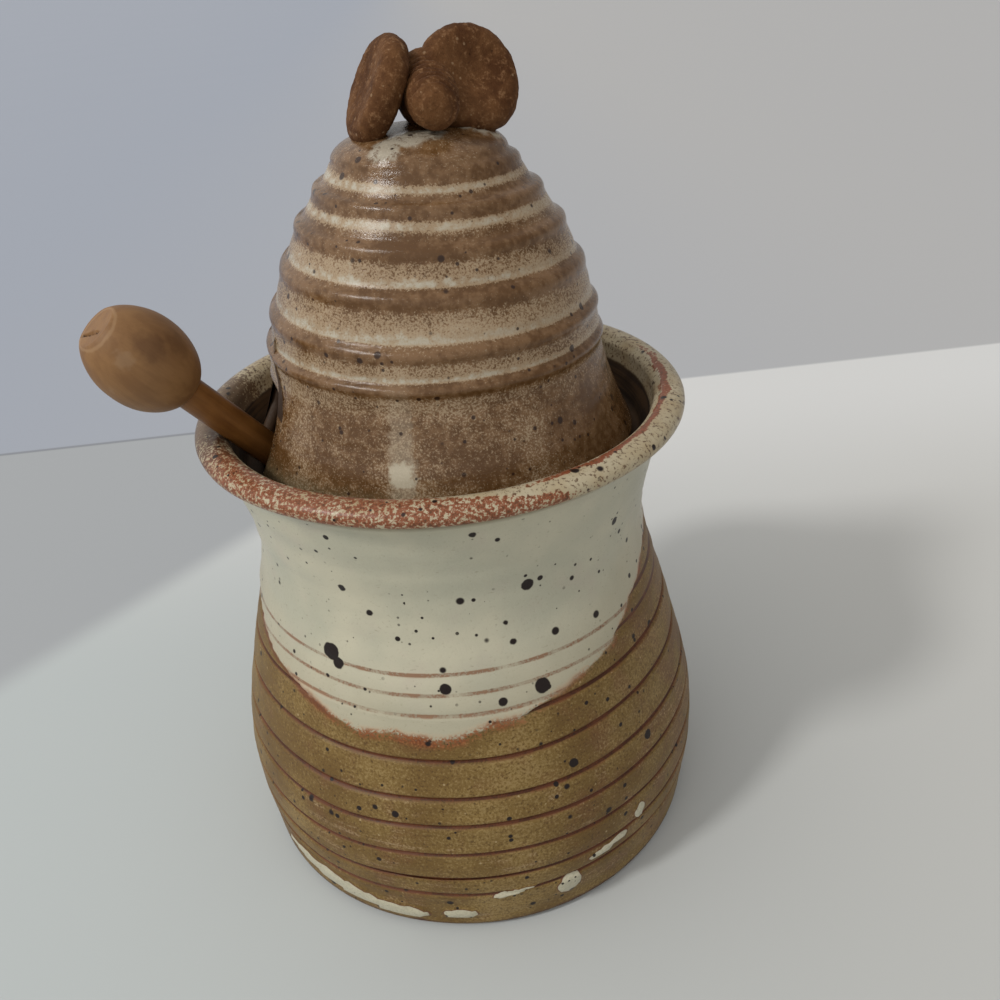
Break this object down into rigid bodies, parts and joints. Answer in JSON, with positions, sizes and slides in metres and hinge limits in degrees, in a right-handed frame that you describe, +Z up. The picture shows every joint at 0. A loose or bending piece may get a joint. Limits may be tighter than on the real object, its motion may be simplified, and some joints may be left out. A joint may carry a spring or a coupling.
{
  "type": "honey pot",
  "caption": "Stoneware honey pot with a lift-off beehive lid, a clay bee on top and a wooden dipper that leans out through a notch in the lid.",
  "frame": {"origin": "centre of the jar's flat foot, on the jar's axis", "axes": "+Z up along the jar's axis, -Y the front, -X the side that the dipper leans out on"},
  "size_m": [0.1159, 0.108, 0.1715],
  "materials": {
    "jar_glaze": "satin glaze, white over tan, speckled",
    "lid_glaze": "glossy tan glaze, speckled",
    "bare_clay": "matt unglazed stoneware",
    "shaft_wood": "oiled",
    "knob_wood": "sanded, worn"
  },
  "bodies": {
    "jar": {"jar": "jar_glaze"},
    "lid": {"lid": "lid_glaze", "bee_thorax": "bare_clay", "bee_abdomen": "bare_clay", "bee_head": "bare_clay", "bee_wing_left": "bare_clay", "bee_wing_right": "bare_clay"},
    "dipper": {"dipper_head": "shaft_wood", "dipper_shaft": "shaft_wood", "dipper_knob": "knob_wood"}
  },
  "joints": [
    {"name": "lid_lift", "type": "slide", "parent": "jar", "child": "lid", "axis": [0, 0, 1], "range_m": [0, 0.06]},
    {"name": "dipper_slide", "type": "slide", "parent": "jar", "child": "dipper", "axis": [-0.5345, -0.2999, 0.7902], "range_m": [0, 0.055]}
  ]
}
